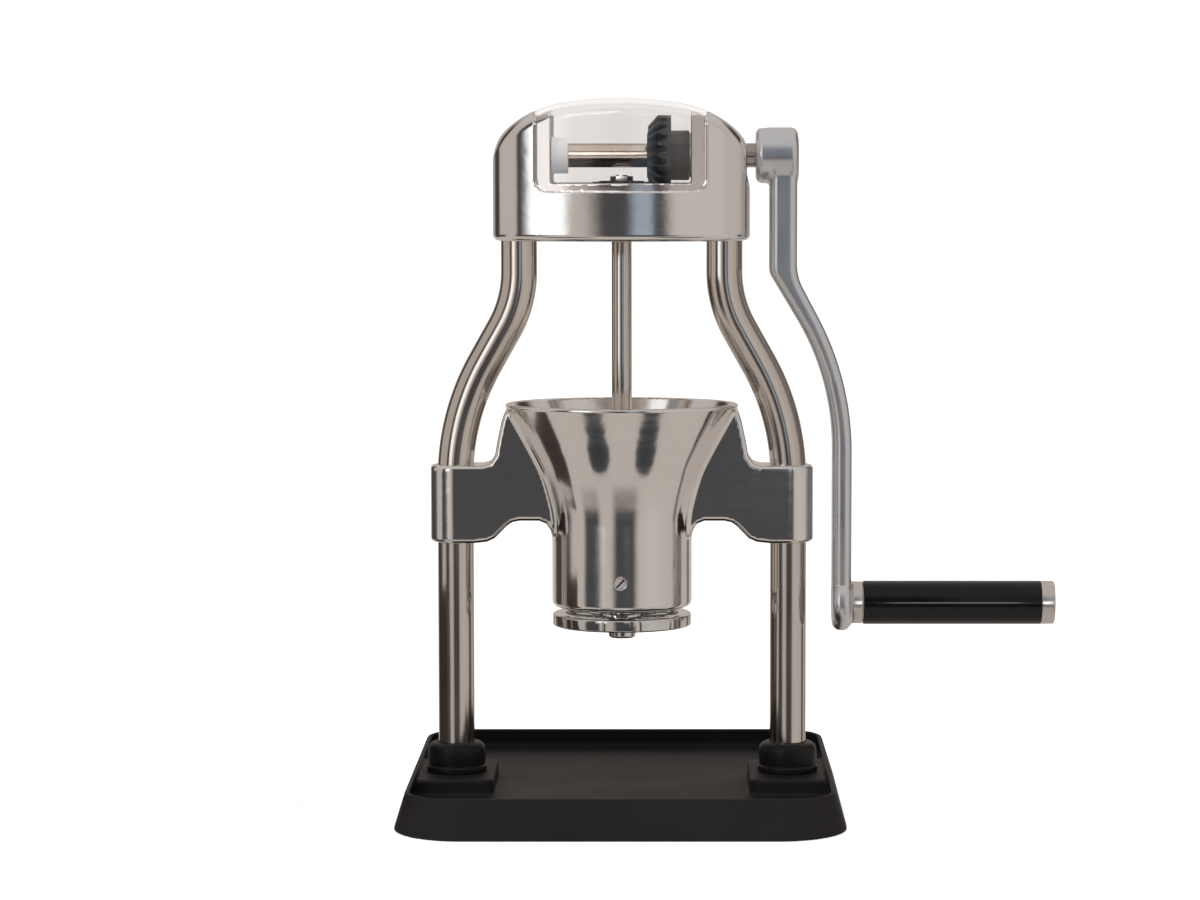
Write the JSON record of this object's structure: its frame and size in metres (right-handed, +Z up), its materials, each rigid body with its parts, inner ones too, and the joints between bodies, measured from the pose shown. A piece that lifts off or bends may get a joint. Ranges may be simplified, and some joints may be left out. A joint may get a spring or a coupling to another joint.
{
  "type": "manual coffee grinder",
  "caption": "Hand-cranked coffee grinder: bevel gear head under a clear cover on bent steel columns, hopper with a burr housing, tray base.",
  "frame": {"origin": "on the floor under the axis of the vertical drive shaft, which is midway between the two columns", "axes": "+Z up along the drive shaft, +X towards the crank, -Y towards the front of the grinder"},
  "size_m": [0.3258, 0.2286, 0.3534],
  "materials": {
    "polished_aluminium": "polished casting with fine polishing lines",
    "satin_aluminium": "satin, blasted and lightly brushed",
    "clear_cover": "clear polycarbonate",
    "polished_stainless": "polished tube and bar",
    "steel_hardware": "plain bright steel",
    "brushed_steel": "turned and brushed",
    "white_acetal": "natural white bearing plastic",
    "bearing_bronze": "sintered bronze",
    "dark_gear": "blackened sintered steel, satin",
    "burr_steel": "ground hardened steel",
    "chrome": "bright plated",
    "gloss_black": "black, glossy",
    "matte_black": "black moulding, fine matt texture",
    "black_rubber": "black rubber, matt"
  },
  "bodies": {
    "frame": {"head_casting": "polished_aluminium", "gear_cover": "clear_cover", "cover_screws": "steel_hardware", "head_grub_screws": "steel_hardware", "crank_bearing_left": "white_acetal", "crank_bearing_right": "white_acetal", "head_bush": "bearing_bronze", "column_left": "polished_stainless", "column_right": "polished_stainless", "centre_casting": "polished_aluminium", "clamp_screws": "steel_hardware", "burr_lock_screw": "steel_hardware", "bearing_spider": "satin_aluminium", "spider_bush": "bearing_bronze", "outer_burr": "burr_steel", "boot_left": "black_rubber", "boot_right": "black_rubber", "base_tray": "matte_black", "base_plate": "steel_hardware", "base_bolts": "steel_hardware", "column_plugs": "steel_hardware", "foot_pad": "black_rubber"},
    "crank": {"crank_shaft": "polished_stainless", "crank_gear": "dark_gear", "crank_gear_pin": "steel_hardware", "crank_washer": "steel_hardware", "crank_arm": "satin_aluminium", "hub_screw": "steel_hardware", "grip_spindle": "steel_hardware", "grip_collar": "brushed_steel", "grip_clip": "steel_hardware"},
    "grip": {"grip_tube": "gloss_black", "grip_bushes": "white_acetal", "grip_cap": "brushed_steel"},
    "drive": {"drive_shaft": "polished_stainless", "shaft_gear": "dark_gear", "shaft_gear_pin": "steel_hardware", "shaft_nut": "steel_hardware", "drive_key": "steel_hardware", "burr_spring": "steel_hardware", "spring_washer": "steel_hardware", "shaft_clip": "steel_hardware"},
    "burr": {"inner_burr": "burr_steel"},
    "adjuster": {"adjuster_ring": "chrome", "adjuster_nut": "chrome"}
  },
  "joints": [
    {"name": "crank_turn", "type": "hinge", "parent": "frame", "child": "crank", "pos_m": [0, 0, 0.3255], "axis": [1, 0, 0], "continuous": true},
    {"name": "grip_spin", "type": "hinge", "parent": "crank", "child": "grip", "pos_m": [0.16, 0, 0.1025], "axis": [1, 0, 0], "continuous": true},
    {"name": "shaft_turn", "type": "hinge", "parent": "frame", "child": "drive", "pos_m": [0, 0, 0.2], "axis": [0, 0, 1], "continuous": true},
    {"name": "burr_lift", "type": "slide", "parent": "drive", "child": "burr", "axis": [0, 0, 1], "range_m": [-0.00063, 0.00188], "deforming": ["burr_spring"]},
    {"name": "adjuster_turn", "type": "hinge", "parent": "burr", "child": "adjuster", "pos_m": [0, 0, 0.0945], "axis": [0, 0, 1], "range_deg": [-180, 540]}
  ],
  "couplings": [
    {"joint": "shaft_turn", "follows": "crank_turn", "ratio": 1},
    {"joint": "burr_lift", "follows": "adjuster_turn", "m_per_rad": 0.00019894}
  ]
}
